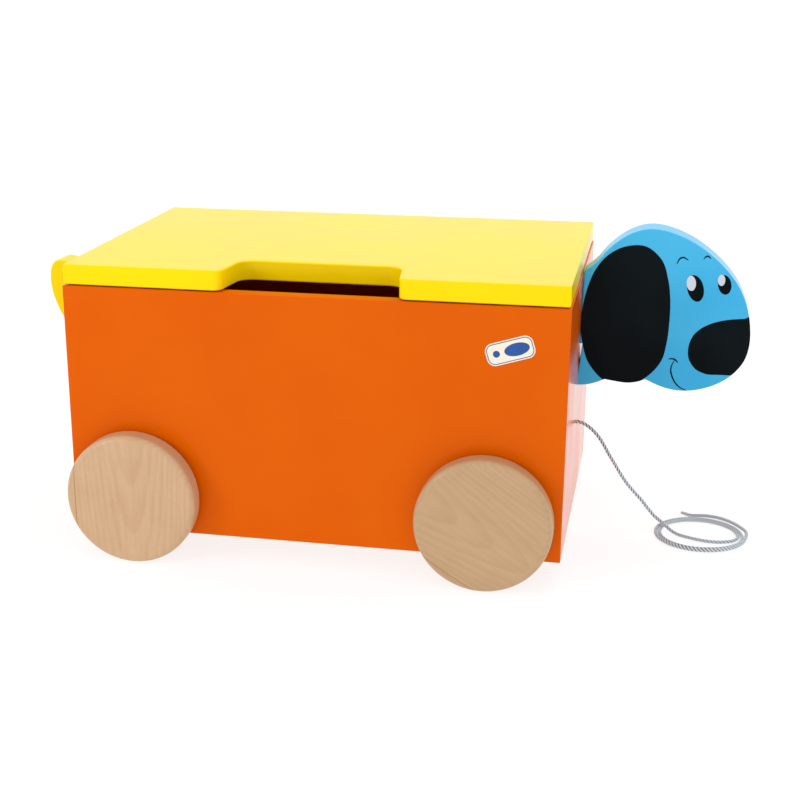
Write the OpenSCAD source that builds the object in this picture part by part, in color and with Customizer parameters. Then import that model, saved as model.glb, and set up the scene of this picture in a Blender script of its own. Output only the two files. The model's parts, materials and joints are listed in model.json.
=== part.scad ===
// Wooden pull-along toy box in the shape of a dog: a hinged lid, four wheels and a pull cord.
// The dog looks along +X, the lid's hinges are on the +Y side, and the wheels stand on Z = 0.

/* [Box] */
// Length of the box, without head and tail
body_l = 450; // [360:5:560]
// Width of the box over the side panels
body_w = 308; // [240:2:380]
// Height of the side and end panels
body_h = 228; // [190:2:290]
// Thickness of the side and end panels
board_t = 15; // [12:1:18]
// Height of the panels' lower edges above the ground
ground_gap = 24; // [20:1:36]
// Thickness of the floor panel
floor_t = 9; // [6:1:12]
// Depth of the grooves that hold the floor panel
groove_depth = 5; // [4:0.5:7]

/* [Lid] */
// Thickness of the lid
lid_t = 18; // [15:1:22]
// Height of the open seam between the box and the lid
lid_gap = 1; // [0.8:0.1:2]
// Distance by which the lid's edges stand back from the box's faces
lid_inset = 1; // [0:0.5:3]
// Width of the hand notch at the lid's front edge
notch_outer_w = 158; // [120:2:180]
// Width of the hand notch at its inner end
notch_inner_w = 146; // [100:2:160]
// Depth of the hand notch
notch_depth = 50; // [35:1:60]
// Radius of the notch's outer corners
notch_outer_r = 8; // [3:1:12]
// Radius of the notch's inner corners
notch_inner_r = 14; // [5:1:20]

/* [Wheels] */
// Diameter of the wheels
wheel_d = 122; // [95:1:145]
// Thickness of the wheels
wheel_t = 22; // [17:1:26]
// Radius of the wheels' rounded edges
wheel_edge_r = 5.5; // [2:0.5:7]
// Gap between a wheel and the side panel
wheel_gap = 2; // [1.6:0.1:3]
// Distance from the rear end of the box to the rear axle
rear_axle_inset = 62; // [50:1:90]
// Distance from the front end of the box to the front axle
front_axle_inset = 67; // [50:1:90]
// Diameter of the axle rods
axle_d = 8; // [6:0.5:10]
// Depth of the blind bore that holds an axle in its wheel
axle_seat = 14; // [11:0.5:15]

/* [Head and tail] */
// Thickness of the head and tail boards
figure_t = 30; // [24:1:34]
// Distance from the front end panel to the nose
head_l = 152; // [120:1:190]
// Height of the head board
head_h = 149; // [120:1:160]
// Height of the head's highest point above the box's rim
head_rise = 44; // [30:1:60]
// Distance from the rear end panel to the tail's far edge
tail_l = 72; // [50:1:90]
// Height of the tail board
tail_h = 112; // [80:1:125]

/* [Hinges] */
// Length of each lid hinge
hinge_l = 60; // [45:1:80]
// Distance from the ends of the box to the middle of each hinge
hinge_inset = 90; // [60:5:130]
// Thickness of the hinge leaves
leaf_t = 1.2; // [1:0.1:1.6]
// Width of the hinge leaves on the wood
leaf_w = 13; // [10:0.5:14]
// Outer diameter of the hinge knuckles
knuckle_d = 6; // [5:0.2:7]
// Diameter of the hinge pins
hinge_pin_d = 2.4; // [2:0.1:3]

/* [Pull cord] */
// Diameter of the pull cord
cord_d = 3.6; // [3:0.2:4.4]

/* [Hidden] */
$fn = 64;

// Running clearance on the radius of the axles and the hinge pins
run_gap = 0.05;
// Cut that overlaps the face it starts from
over = 1;

// Heights
rim_z = ground_gap + body_h;
lid_z = rim_z + lid_gap;
axle_z = wheel_d / 2;
floor_axle_gap = 4;
floor_z = axle_z + axle_d / 2 + floor_axle_gap;

// Half sizes of the box, and the size of its inside
half_l = body_l / 2;
half_w = body_w / 2;
inner_l = body_l - 2 * board_t;
inner_w = body_w - 2 * board_t;

// The frame's origin is under the middle between the nose and the tail
middle_x = (head_l - tail_l) / 2;
module placed() {
    translate([-middle_x, 0, 0])
        children();
}

// Axle places along the box
front_axle_x = half_l - front_axle_inset;
rear_axle_x = rear_axle_inset - half_l;

// Bushes
bush_wall = 2;
bush_d = axle_d + 2 * run_gap + 2 * bush_wall;
bush_rim = 3;
bush_play = 0.4;
bush_flange_d = bush_d + 2 * bush_rim;
bush_flange_t = wheel_gap - bush_play;

// Dowels of the corner joints
dowel_d = 8;
dowel_l = 40;
dowel_in_side = 10;
dowel_end = inner_w / 2 + dowel_in_side;
dowel_margin = 30;
dowel_levels = [ground_gap + dowel_margin, ground_gap + body_h / 2 + dowel_margin / 2, rim_z - dowel_margin];

// Screws: [shank diameter, head diameter, head height, shank length under the head]
figure_screw = [4, 8, 2.5, 45];
hinge_screw = [2.5, 4.6, 1.1, 11];

// Hinges
knuckle_stand_off = 0.6;
hinge_axis_y = half_w + knuckle_d / 2 + knuckle_stand_off;
hinge_axis_z = rim_z + lid_gap / 2;
hinge_knuckles = 5;
knuckle_gap = 0.3;
hinge_screw_inset = 9;
hinge_screw_pitch = hinge_l / 2 - hinge_screw_inset;
leaf_screw_y = half_w - leaf_w / 2;

// Bumpers under the lid
bumper_d = 8;
bumper_play = 0.2;
bumper_t = lid_gap - bumper_play;
bumper_inset = 25;

// Label on the right side
label_l = 42;
label_h = 20;
label_r = 7;
label_t = 0.4;
label_tilt = 17;
label_from_front = 50;
label_below_rim = 38;

// Route of the cord from the knot through its hole and down to the coil:
// X from the front end panel's outer face, Y, Z from the ground
route = [[-board_t, 0, 106.5], [-5, 0, 106.5], [4, 0, 105.7], [11, 0, 102.3], [17, 0.5, 97], [22.2, 1, 91],
         [27, 1.5, 83.5], [32, 2.5, 74.5], [38, 4, 64.5], [44, 5, 54.5], [50.5, 6, 45], [57.5, 7.5, 36.5],
         [65, 9, 28], [71.5, 10.5, 19.5], [77.5, 11.5, 12.3], [82.3, 11, 8.6], [86.5, 7, 7], [90.5, 1.8, 5.4],
         [95.5, -3.8, 3.4], [102, -9, 2.1], [110, -13.7, 2.1], [119, -17.8, 2.1], [128.5, -20.5, 2.1],
         [138, -20.8, 2.1], [147, -18, 2.1], [155, -13, 2.1]];

// Cord hole, knot and coil
cord_z = route[0][2];
cord_hole_gap = 1;
cord_hole_d = cord_d + 2 * cord_hole_gap;
knot_d = 11;
knot_l = 9;
coil_x = 121;
coil_y = -4;
coil_inner_r = 33;
coil_outer_r = 46.5;
coil_h = 5;
coil_edge_r = 2;

// Points of a fillet of radius r at corner b, on the way from a to c
function unit(v) = v / norm(v);
function turn(a) = a > 180 ? a - 360 : a <= -180 ? a + 360 : a;
function fillet(a, b, c, r, steps = 8) =
    let(u = unit(a - b), w = unit(c - b), half = acos(u * w) / 2)
    let(centre = b + unit(u + w) * r / sin(half), reach = r / tan(half))
    let(from = b + u * reach - centre, to = b + w * reach - centre)
    let(start = atan2(from[1], from[0]), sweep = turn(atan2(to[1], to[0]) - start))
    [for (i = [0:steps]) centre + r * [cos(start + sweep * i / steps), sin(start + sweep * i / steps)]];

// Smooth curve through the points p, with n steps from one point to the next
function clamped(p, i) = p[max(0, min(len(p) - 1, i))];
function spline_at(a, b, c, d, t) =
    0.5 * (2 * b + (c - a) * t + (2 * a - 5 * b + 4 * c - d) * t * t + (3 * b - 3 * c + d - a) * t * t * t);
function spline(p, n = 4) =
    concat([for (i = [0:len(p) - 2]) for (k = [0:n - 1])
                spline_at(clamped(p, i - 1), p[i], p[i + 1], clamped(p, i + 2), k / n)],
           [p[len(p) - 1]]);

// Rectangle with round corners, centred
module rounded_plate(l, h, r) {
    square([l - 2 * r, h], center = true);
    square([l, h - 2 * r], center = true);
    for (x = [-1, 1], y = [-1, 1])
        translate([x * (l / 2 - r), y * (h / 2 - r)])
            circle(r);
}

// Straight cut or rod along one axis, starting at p
module along_x(p, d, l) {
    translate(p) rotate([0, 90, 0]) cylinder(d = d, h = l);
}
module along_y(p, d, l) {
    translate(p) rotate([-90, 0, 0]) cylinder(d = d, h = l);
}

// Screw with its head's top at the origin and its shank along -Z
module countersunk_screw(size) {
    translate([0, 0, -size[2]]) cylinder(d1 = size[0], d2 = size[1], h = size[2]);
    translate([0, 0, -size[3]]) cylinder(d = size[0], h = size[3] - size[2]);
}
module countersunk_hole(size) {
    countersunk_screw(size);
    cylinder(d = size[1], h = over);
}

// Every corner dowel, running along Y through the joint
module all_dowels() {
    for (x = [-1, 1], z = dowel_levels)
        for (y = [dowel_end - dowel_l, -dowel_end])
            along_y([x * (half_l - board_t / 2), y, z], dowel_d, dowel_l);
}

// Floor panel with its edges in the grooves
module floor_block(extra = 0) {
    edge = groove_depth + extra;
    translate([-inner_l / 2 - edge, -inner_w / 2 - edge, floor_z])
        cube([inner_l + 2 * edge, inner_w + 2 * edge, floor_t]);
}

// Countersunk holes of one hinge leaf
module hinge_screws(side, hole = false) {
    for (x = [-1, 0, 1])
        translate([x * hinge_screw_pitch, leaf_screw_y, side > 0 ? lid_z : rim_z])
            mirror([0, 0, side > 0 ? 1 : 0])
                if (hole) countersunk_hole(hinge_screw);
                else countersunk_screw(hinge_screw);
}

// Pocket that lets a leaf into the wood, flush with its face
module leaf_pocket(side) {
    for (x = [-1, 1])
        translate([x * (half_l - hinge_inset), 0, 0]) {
            translate([-hinge_l / 2, half_w - leaf_w, side > 0 ? lid_z - over : rim_z - leaf_t])
                cube([hinge_l, leaf_w + over, leaf_t + over]);
            hinge_screws(side, hole = true);
        }
}

// One side panel, as the right one stands: outer face at -Y
module side_board(hinges) {
    difference() {
        translate([-half_l, -half_w, ground_gap]) cube([body_l, board_t, body_h]);
        floor_block();
        all_dowels();
        for (x = [front_axle_x, rear_axle_x])
            along_y([x, -half_w - over, axle_z], bush_d, board_t + 2 * over);
        if (hinges)
            mirror([0, 1, 0]) leaf_pocket(-1);
    }
}
module right_side_panel() {
    color("darkorange") placed() side_board(false);
}
module left_side_panel() {
    color("darkorange") placed() mirror([0, 1, 0]) side_board(true);
}

// One end panel, as the front one stands: outer face at +X
module end_board() {
    difference() {
        translate([half_l - board_t, -inner_w / 2, ground_gap]) cube([board_t, inner_w, body_h]);
        floor_block();
        all_dowels();
    }
}

// Heights of the screws in the head and in the tail, measured down from the box's rim
head_screw_drops = [18, 50];
tail_screw_drops = [45, 85];
head_screw_z = [for (drop = head_screw_drops) rim_z - drop];
tail_screw_z = [for (drop = tail_screw_drops) rim_z - drop];
module figure_screws(levels) {
    for (z = levels)
        translate([half_l - board_t, 0, z]) rotate([0, -90, 0]) {
            cylinder(d = figure_screw[1], h = figure_screw[2]);
            translate([0, 0, -figure_screw[3]]) cylinder(d = figure_screw[0], h = figure_screw[3]);
        }
}

// Board that stands out from the front end panel, its outline given in shares of its size
module figure(outline, size, bottom_z) {
    translate([half_l, figure_t / 2, bottom_z]) rotate([90, 0, 0]) linear_extrude(figure_t)
        polygon([for (p = outline) [p[0] * size[0], p[1] * size[1]]]);
}
module front_end_panel() {
    color("darkorange") placed() difference() {
        end_board();
        along_x([half_l - board_t - over, 0, cord_z], cord_hole_d, board_t + 2 * over);
        figure_screws(head_screw_z);
    }
}
module rear_end_panel() {
    color("darkorange") placed() mirror([1, 0, 0]) difference() {
        end_board();
        figure_screws(tail_screw_z);
    }
}
module floor_panel() {
    color("burlywood") placed() floor_block();
}
module corner_dowels() {
    color("tan") placed() all_dowels();
}

// Outline of the head, in shares of its length and height: the neck, the crown and the muzzle,
// the fold of the cheek, the ear's lower edge and the nape, with a narrow gap under the neck
crown = [[0.005, 0.72], [0.075, 0.783], [0.145, 0.872], [0.25, 0.957], [0.37, 1], [0.5, 0.985],
         [0.65, 0.92], [0.79, 0.815], [0.9, 0.69], [0.965, 0.56], [0.995, 0.43], [1, 0.31],
         [0.975, 0.205], [0.91, 0.115], [0.82, 0.05], [0.71, 0.01], [0.6, 0], [0.5, 0.02], [0.405, 0.06]];
ear_edge = [[0.405, 0.06], [0.35, 0.04], [0.28, 0.032], [0.16, 0.047]];
nape = [[0.16, 0.047], [0.12, 0.027], [0.06, 0.007], [0, 0]];
neck = [[0, 0.11], [0.016, 0.27], [0, 0.27]];
head_outline = concat(spline(crown), spline(ear_edge), spline(nape), neck);
module head_board() {
    color("deepskyblue") placed()
        difference() {
            figure(head_outline, [head_l, head_h], rim_z + head_rise - head_h);
            figure_screws(head_screw_z);
        }
}
module head_screws() {
    color("silver") placed() figure_screws(head_screw_z);
}

// Outline of the tail, in shares of its length and height, from the rear panel outwards
tail_outline = spline([[0, 0.88], [0.35, 0.93], [0.7, 0.985], [0.88, 1], [0.97, 0.95], [1, 0.85], [0.99, 0.745],
                       [0.94, 0.625], [0.84, 0.485], [0.68, 0.33], [0.46, 0.18], [0.22, 0.06], [0, 0]]);
tail_below_rim = 8;
module tail_board() {
    color("gold") placed()
        mirror([1, 0, 0]) difference() {
            figure(tail_outline, [tail_l, tail_h], rim_z - tail_below_rim - tail_h);
            figure_screws(tail_screw_z);
        }
}
module tail_screws() {
    color("silver") placed() mirror([1, 0, 0]) figure_screws(tail_screw_z);
}

// Plain label on the right side panel
module side_label() {
    color("ivory") placed()
        translate([half_l - label_from_front, -half_w, rim_z - label_below_rim])
            rotate([90, -label_tilt, 0]) linear_extrude(label_t)
                rounded_plate(label_l, label_h, label_r);
}

// Flanged bush of one axle end, flange outside; side is -1 on the right and 1 on the left
module bush(x, side) {
    color("white") placed() translate([x, side * (half_w - board_t), axle_z]) rotate([-90 * side, 0, 0])
        difference() {
            union() {
                cylinder(d = bush_d, h = board_t + bush_flange_t);
                translate([0, 0, board_t]) cylinder(d = bush_flange_d, h = bush_flange_t);
            }
            translate([0, 0, -over]) cylinder(d = axle_d + 2 * run_gap, h = board_t + bush_flange_t + 2 * over);
        }
}
module front_right_bush() bush(front_axle_x, -1);
module front_left_bush() bush(front_axle_x, 1);
module rear_right_bush() bush(rear_axle_x, -1);
module rear_left_bush() bush(rear_axle_x, 1);

// Axle rod between the bottoms of its two blind bores
axle_l = body_w + 2 * wheel_gap + 2 * axle_seat;
module axle_rod(x) {
    color("silver") placed() along_y([x, -axle_l / 2, axle_z], axle_d, axle_l);
}
module front_axle_rod() axle_rod(front_axle_x);
module rear_axle_rod() axle_rod(rear_axle_x);

// Wheel with rounded edges, plain outside, with a blind bore inside
module wheel_section() {
    r = wheel_d / 2;
    difference() {
        union() {
            square([r - wheel_edge_r, wheel_t]);
            translate([0, wheel_edge_r]) square([r, wheel_t - 2 * wheel_edge_r]);
            for (z = [wheel_edge_r, wheel_t - wheel_edge_r])
                translate([r - wheel_edge_r, z]) circle(wheel_edge_r);
        }
        square([axle_d / 2, axle_seat]);
    }
}
module wheel(x, side) {
    color("burlywood") placed() translate([x, side * (half_w + wheel_gap), axle_z])
        rotate([-90 * side, 0, 0]) rotate_extrude($fn = 96) wheel_section();
}
module front_right_wheel() wheel(front_axle_x, -1);
module front_left_wheel() wheel(front_axle_x, 1);
module rear_right_wheel() wheel(rear_axle_x, -1);
module rear_left_wheel() wheel(rear_axle_x, 1);

// Hinge knuckles along X: the even ones belong to the box leaf, the odd ones to the lid leaf
module knuckles(first, d) {
    pitch = hinge_l / hinge_knuckles;
    for (i = [first:2:hinge_knuckles - 1])
        along_x([i * pitch - hinge_l / 2 + knuckle_gap / 2, hinge_axis_y, hinge_axis_z], d, pitch - knuckle_gap);
}

// One leaf: the plate on the wood, the webs out to its knuckles, and the knuckles; side is 1 on the lid
module hinge_leaf(end, side) {
    first = side > 0 ? 1 : 0;
    leaf_z = side > 0 ? lid_z : rim_z - leaf_t;
    edge_y = half_w - lid_inset * (side > 0 ? 1 : 0);
    pitch = hinge_l / hinge_knuckles;
    color("silver") placed() translate([end * (half_l - hinge_inset), 0, 0])
        difference() {
            union() {
                translate([-hinge_l / 2, half_w - leaf_w, leaf_z]) cube([hinge_l, edge_y - half_w + leaf_w, leaf_t]);
                for (i = [first:2:hinge_knuckles - 1])
                    translate([i * pitch - hinge_l / 2 + knuckle_gap / 2, half_w - leaf_w, leaf_z])
                        cube([pitch - knuckle_gap, hinge_axis_y - half_w + leaf_w, leaf_t]);
                knuckles(first, knuckle_d);
            }
            along_x([-hinge_l / 2 - over, hinge_axis_y, hinge_axis_z],
                    hinge_pin_d + (side > 0 ? 2 * run_gap : 0), hinge_l + 2 * over);
            hinge_screws(side, hole = true);
        }
}
module hinge_pin(end) {
    color("silver") placed()
        along_x([end * (half_l - hinge_inset) - hinge_l / 2, hinge_axis_y, hinge_axis_z], hinge_pin_d, hinge_l);
}
module both_hinge_screws(side) {
    color("silver") placed() for (end = [-1, 1])
        translate([end * (half_l - hinge_inset), 0, 0]) hinge_screws(side);
}
module front_hinge_box_leaf() hinge_leaf(1, -1);
module rear_hinge_box_leaf() hinge_leaf(-1, -1);
module front_hinge_lid_leaf() hinge_leaf(1, 1);
module rear_hinge_lid_leaf() hinge_leaf(-1, 1);
module front_hinge_pin() hinge_pin(1);
module rear_hinge_pin() hinge_pin(-1);
module hinge_box_screws() both_hinge_screws(-1);
module hinge_lid_screws() both_hinge_screws(1);

// Lid with its hand notch in the front edge
lid_x = half_l - lid_inset;
lid_y = half_w - lid_inset;
notch_corner_x = notch_outer_w / 2;
notch_end_x = notch_inner_w / 2;
notch_y = notch_depth - lid_y;
notch_half = concat(fillet([lid_x, -lid_y], [notch_corner_x, -lid_y], [notch_end_x, notch_y], notch_outer_r),
                    fillet([notch_corner_x, -lid_y], [notch_end_x, notch_y], [0, notch_y], notch_inner_r));
notch_other_half = [for (i = [len(notch_half) - 1:-1:0]) [-notch_half[i][0], notch_half[i][1]]];
lid_outline = concat([[lid_x, lid_y], [lid_x, -lid_y]], notch_half, notch_other_half,
                     [[-lid_x, -lid_y], [-lid_x, lid_y]]);
module lid_panel() {
    color("yellow") placed() difference() {
        translate([0, 0, lid_z]) linear_extrude(lid_t) polygon(lid_outline);
        leaf_pocket(1);
    }
}
module lid_bumpers() {
    color("gray") placed() for (x = [-1, 1], y = [-1, 1])
        translate([x * (half_l - bumper_inset), y * (half_w - board_t / 2), lid_z - bumper_t])
            cylinder(d = bumper_d, h = bumper_t);
}

// Sweep of a tube of radius r along the points p
cord_sides = 8;
function along(p, i) = unit(clamped(p, i + 1) - clamped(p, i - 1));
function ring(p, i, r) =
    let(t = along(p, i), side = unit(cross(t, [0, 1, 0.01])), up = cross(side, t))
    [for (k = [0:cord_sides - 1]) p[i] + r * (cos(k * 360 / cord_sides) * side + sin(k * 360 / cord_sides) * up)];
module tube(p, r) {
    n = cord_sides;
    last = (len(p) - 1) * n;
    polyhedron(points = [for (i = [0:len(p) - 1]) each ring(p, i, r)],
               faces = concat([[for (k = [0:n - 1]) k]],
                              [for (i = [0:len(p) - 2]) for (k = [0:n - 1])
                                   [i * n + k, (i + 1) * n + k, (i + 1) * n + (k + 1) % n, i * n + (k + 1) % n]],
                              [[for (k = [n - 1:-1:0]) last + k]]));
}
module pull_cord() {
    color("slategray") placed() translate([half_l, 0, 0]) tube(route, cord_d / 2);
}
module stopper_knot() {
    color("slategray") placed()
        translate([half_l - board_t - knot_l, 0, cord_z]) rotate([0, 90, 0]) rotate_extrude() {
            translate([0, knot_l / 4]) square([knot_d / 2 - knot_l / 4, knot_l / 2]);
            for (z = [knot_l / 4, knot_l * 3 / 4])
                translate([knot_d / 2 - knot_l / 4, z]) intersection() {
                    circle(knot_l / 4);
                    translate([0, -knot_l]) square(2 * knot_l);
                }
            square([knot_d / 2 - knot_l / 4, knot_l]);
        }
}
module cord_coil() {
    color("slategray") placed() translate([half_l + coil_x, coil_y, 0]) rotate_extrude()
        translate([(coil_inner_r + coil_outer_r) / 2, coil_h / 2])
            rounded_plate(coil_outer_r - coil_inner_r, coil_h, coil_edge_r);
}

// Sealed end of the cord, which points away from the coil
tip_start = [113.5, 41.5, 3.2];
tip_turn = 145;
tip_l = 12;
tip_swell = 0.4;
module cord_tip() {
    color("slategray") placed() translate([half_l, 0, 0] + tip_start)
        rotate([0, 90, tip_turn]) cylinder(d = cord_d + tip_swell, h = tip_l);
}

right_side_panel();
left_side_panel();
front_end_panel();
rear_end_panel();
floor_panel();
corner_dowels();
head_board();
head_screws();
tail_board();
tail_screws();
side_label();
front_right_bush();
front_left_bush();
rear_right_bush();
rear_left_bush();
front_hinge_box_leaf();
rear_hinge_box_leaf();
front_hinge_pin();
rear_hinge_pin();
hinge_box_screws();
stopper_knot();
pull_cord();
cord_coil();
cord_tip();
lid_panel();
lid_bumpers();
front_hinge_lid_leaf();
rear_hinge_lid_leaf();
hinge_lid_screws();
front_axle_rod();
front_right_wheel();
front_left_wheel();
rear_axle_rod();
rear_right_wheel();
rear_left_wheel();
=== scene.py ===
# %% [markdown]
# # A wooden toy box that is a dog on wheels
# The real object is an orange box with a yellow hinged lid. A light blue head and a yellow tail are
# screwed to its ends, it rolls on four plain wooden wheels, and a grey cord pulls it along.
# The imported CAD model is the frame: it says where every piece is. This script gives each piece the
# shape and the finish that a maker would give it, and leaves every size as it is.

# %% Load the frame
import json
import math

import bmesh
import bpy
from mathutils import Matrix, Vector, kdtree


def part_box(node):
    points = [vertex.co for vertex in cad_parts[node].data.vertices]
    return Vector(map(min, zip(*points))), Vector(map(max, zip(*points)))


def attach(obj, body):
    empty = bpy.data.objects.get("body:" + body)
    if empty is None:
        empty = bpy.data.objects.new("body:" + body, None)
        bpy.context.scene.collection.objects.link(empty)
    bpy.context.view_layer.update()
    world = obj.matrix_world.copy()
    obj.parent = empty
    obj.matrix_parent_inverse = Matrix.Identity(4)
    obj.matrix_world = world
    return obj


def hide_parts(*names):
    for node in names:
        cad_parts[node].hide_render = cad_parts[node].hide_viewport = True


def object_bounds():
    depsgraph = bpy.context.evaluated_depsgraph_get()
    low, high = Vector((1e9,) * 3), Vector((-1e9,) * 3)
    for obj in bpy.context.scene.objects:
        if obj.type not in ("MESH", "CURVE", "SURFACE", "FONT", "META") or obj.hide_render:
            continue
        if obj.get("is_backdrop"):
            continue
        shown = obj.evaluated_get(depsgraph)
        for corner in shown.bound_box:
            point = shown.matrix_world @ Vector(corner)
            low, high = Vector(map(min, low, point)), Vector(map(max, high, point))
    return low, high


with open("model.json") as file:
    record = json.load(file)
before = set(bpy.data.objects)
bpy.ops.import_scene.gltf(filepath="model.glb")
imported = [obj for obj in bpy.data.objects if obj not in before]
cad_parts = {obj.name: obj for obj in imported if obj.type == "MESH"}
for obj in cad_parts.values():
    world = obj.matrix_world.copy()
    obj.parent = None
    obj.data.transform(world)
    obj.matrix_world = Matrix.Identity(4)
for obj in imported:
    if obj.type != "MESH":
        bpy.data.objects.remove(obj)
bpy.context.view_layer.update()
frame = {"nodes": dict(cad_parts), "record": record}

MM = 0.001
nodes = frame["nodes"]

# %% [markdown]
# ## Camera
# The box is seen from its right side, from a little above the lid and nearer to the front end.
# The lens is long, so that the parallel boards stay nearly parallel. The shift only slides the
# image on the sensor, and does not change the perspective.

# %% The camera
CAMERA_AT = Vector((0.25835, -1.3569, 0.5388))
YAW, PITCH, ROLL = (math.radians(angle) for angle in (12.332, 18.676, -0.135))
camera_data = bpy.data.cameras.new("camera")
camera_data.lens = 66.39
camera_data.sensor_width = 36
camera_data.shift_x = 0.0645
camera_data.shift_y = 0.0534
camera = bpy.data.objects.new("camera", camera_data)
bpy.context.scene.collection.objects.link(camera)
camera.matrix_world = (Matrix.Translation(CAMERA_AT) @ Matrix.Rotation(YAW, 4, "Z")
                       @ Matrix.Rotation(math.pi / 2 - PITCH, 4, "X") @ Matrix.Rotation(ROLL, 4, "Z"))
bpy.context.scene.camera = camera
print("camera at", tuple(CAMERA_AT))

# %% [markdown]
# ## The cord's line
# A pull cord hangs out of a hole in the front end, falls to the ground, runs across its own coil
# and then lies in it. The free stretch is a list of points: millimetres in front of
# the panel, to the left, and above the ground. The coil is a loop. Its radius grows by about one
# cord for each turn, a little unevenly because a hand laid it, and the last stretch climbs on top
# of the turns below. Both are tables of (degrees, millimetres).

# %% The cord's points
CORD_D = 3.6 * MM
FRONT_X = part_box("front_end_panel")[1].x
route = [(-15, 0, 106.5), (-5, 0, 106.5), (4, 0, 105.7), (11, 0, 102.3), (17, 0.5, 97), (22.2, 1, 91),
         (27, 1.5, 83.5), (32, 2.5, 74.5), (38, 4, 64.5), (44, 5, 54.5), (50.5, 6, 45), (57.5, 7.5, 36.5),
         (65, 9, 28), (71.5, 10.5, 19.5), (77.5, 11.5, 12.3), (82.3, 11, 8.6), (86.5, 7, 7),
         (90.5, 1.8, 5.4), (95.5, -3.8, 3.4), (102, -9, 2.1), (110, -13.7, 2.1), (119, -17.8, 2.1),
         (128.5, -20.5, 2.1), (138, -20.8, 2.1), (147, -18, 2.1), (152.6, -14.5, 2.1)]
cord_points = [Vector((FRONT_X + x * MM, y * MM, z * MM)) for x, y, z in route]

coil_low, coil_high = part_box("cord_coil")
coil_centre = (coil_low + coil_high) / 2
POINTS_PER_TURN = 20
COIL_START, COIL_END = -4, 819.4
coil_heights = [(-20, 2.1), (700, 2.1), (745, 5.5), (792, 5.5), (COIL_END, 3.2)]
coil_radii = [(-10, 36.2), (30, 37), (90, 36.6), (280, 36.6), (345, 40.4), (640, 40.4), (700, 42.4),
              (730, 45), (752, 42.6), (775, 43), (800, 44), (COIL_END, 46.1)]


def along(table, at):
    """Value at one place of a table of (place, value), with a smooth step between its rows."""
    for (a, low), (b, high) in zip(table, table[1:]):
        if at <= b:
            share = max(0.0, (at - a) / (b - a))
            return low + (high - low) * share * share * (3 - 2 * share)
    return table[-1][1]


def coil_point(degrees):
    """A point of the coil, for an angle that goes on growing from turn to turn."""
    turn = math.radians(degrees)
    radius = along(coil_radii, degrees) * MM
    return Vector((coil_centre.x + radius * math.cos(turn), coil_centre.y + radius * math.sin(turn),
                   along(coil_heights, degrees) * MM))


coil_steps = round((COIL_END - COIL_START) * POINTS_PER_TURN / 360)
for i in range(coil_steps + 1):
    cord_points.append(coil_point(COIL_START + (COIL_END - COIL_START) * i / coil_steps))
print(len(cord_points), "points on the cord")

# %% [markdown]
# A smooth curve through the points, cut into equal steps, gives the line that the strands are laid
# around. Its length is the cord's length, so it is measured here and not guessed.

# %% The cord's smooth line
def smooth_line(points, steps):
    """Points of a Catmull-Rom curve through the given ones, with so many steps between two of them."""
    line = []
    for i in range(len(points) - 1):
        a, b = points[max(i - 1, 0)], points[i]
        c, d = points[i + 1], points[min(i + 2, len(points) - 1)]
        for k in range(steps):
            t = k / steps
            line.append(0.5 * (2 * b + (c - a) * t + (2 * a - 5 * b + 4 * c - d) * t ** 2
                               + (3 * b - 3 * c + d - a) * t ** 3))
    return line + [points[-1]]


def even_line(line, step):
    """The same line with its points one step apart, and its length."""
    reach, points, gone = step, [line[0]], 0.0
    for a, b in zip(line, line[1:]):
        length = (b - a).length
        while gone + length >= reach:
            points.append(a.lerp(b, (reach - gone) / length))
            reach += step
        gone += length
    return points, gone


LAY_STEP = 0.62 * MM
CURVE_STEPS = 24
cord_line, cord_length = even_line(smooth_line(cord_points, CURVE_STEPS), LAY_STEP)
print("the cord is", round(cord_length, 4), "m long, in", len(cord_line), "steps")

# %% [markdown]
# ## Two helpers for meshes
# Every new piece is drawn in a bmesh, and then becomes an object that sits at the origin with its
# place in its mesh, rides on a body, and knows its material slot. Flat faces stay flat and round
# ones stay round: edges under 32 degrees are smooth, and the weighted normals keep large faces even.

# %% Make a piece
SMOOTH_BELOW = math.radians(32)


def put_in_scene(name, mesh, body, finish, even=True):
    """An object of a finished mesh, which rides on a body and has its finish."""
    piece = bpy.data.objects.new(name, mesh)
    bpy.context.scene.collection.objects.link(piece)
    mesh.materials.clear()
    mesh.materials.append(finish)
    mesh.shade_smooth()
    mesh.set_sharp_from_angle(angle=SMOOTH_BELOW)
    if even:
        normals = piece.modifiers.new("even normals", "WEIGHTED_NORMAL")
        normals.keep_sharp = True
    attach(piece, body)
    return piece


def make_piece(name, shape, body, finish, even=True):
    """Turns a bmesh into a piece, and says how large it is."""
    mesh = bpy.data.meshes.new(name)
    bmesh.ops.recalc_face_normals(shape, faces=shape.faces)
    shape.to_mesh(mesh)
    shape.free()
    piece = put_in_scene(name, mesh, body, finish, even)
    print(f"{name}: {len(mesh.polygons)} faces, {[round(x / MM, 1) for x in piece.dimensions]} mm")
    return piece


# %% [markdown]
# ## Shader maths
# A finish is worked out from the place on the wood, so most of it is arithmetic. This class wraps
# one output of a node. Arithmetic on it adds Math nodes, and `node` adds any other kind of node.

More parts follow.
